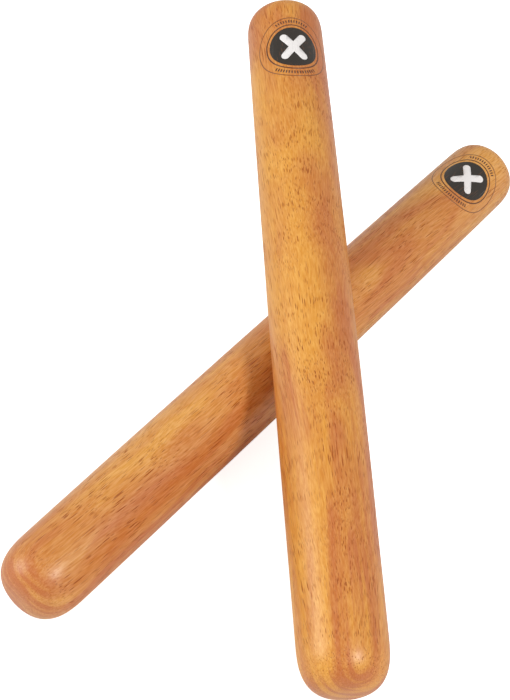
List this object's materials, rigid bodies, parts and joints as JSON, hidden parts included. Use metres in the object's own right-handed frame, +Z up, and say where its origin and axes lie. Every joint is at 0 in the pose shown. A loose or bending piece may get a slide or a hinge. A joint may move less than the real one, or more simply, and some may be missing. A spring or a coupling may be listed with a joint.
{
  "type": "claves",
  "caption": "Pair of round wooden percussion sticks, struck together to sound a sharp click, lying one across the other.",
  "frame": {"origin": "on the ground, under the middle of the pair's bounding box", "axes": "+Z up; +Y from the upper stick's plain end on the ground towards its raised badge end; +X to the right of that"},
  "size_m": [0.1568, 0.2254, 0.0733],
  "materials": {
    "wood": "honey-coloured hardwood with fine dark pores, under satin lacquer",
    "badge_black": "black transfer print under satin lacquer",
    "badge_white": "white transfer print under satin lacquer",
    "badge_line": "fine brown printed line under satin lacquer"
  },
  "bodies": {
    "lower_clave": {"lower_stick": "wood", "lower_badge_disc": "badge_black", "lower_badge_emblem": "badge_white", "lower_badge_inner_ring": "badge_line", "lower_badge_outer_ring": "badge_line"},
    "upper_clave": {"upper_stick": "wood", "upper_badge_disc": "badge_black", "upper_badge_emblem": "badge_white", "upper_badge_inner_ring": "badge_line", "upper_badge_outer_ring": "badge_line"}
  },
  "joints": [
    {"name": "upper_stick_lift", "type": "slide", "parent": "lower_clave", "child": "upper_clave", "axis": [0, 0, 1], "range_m": [0, 0.15]}
  ]
}
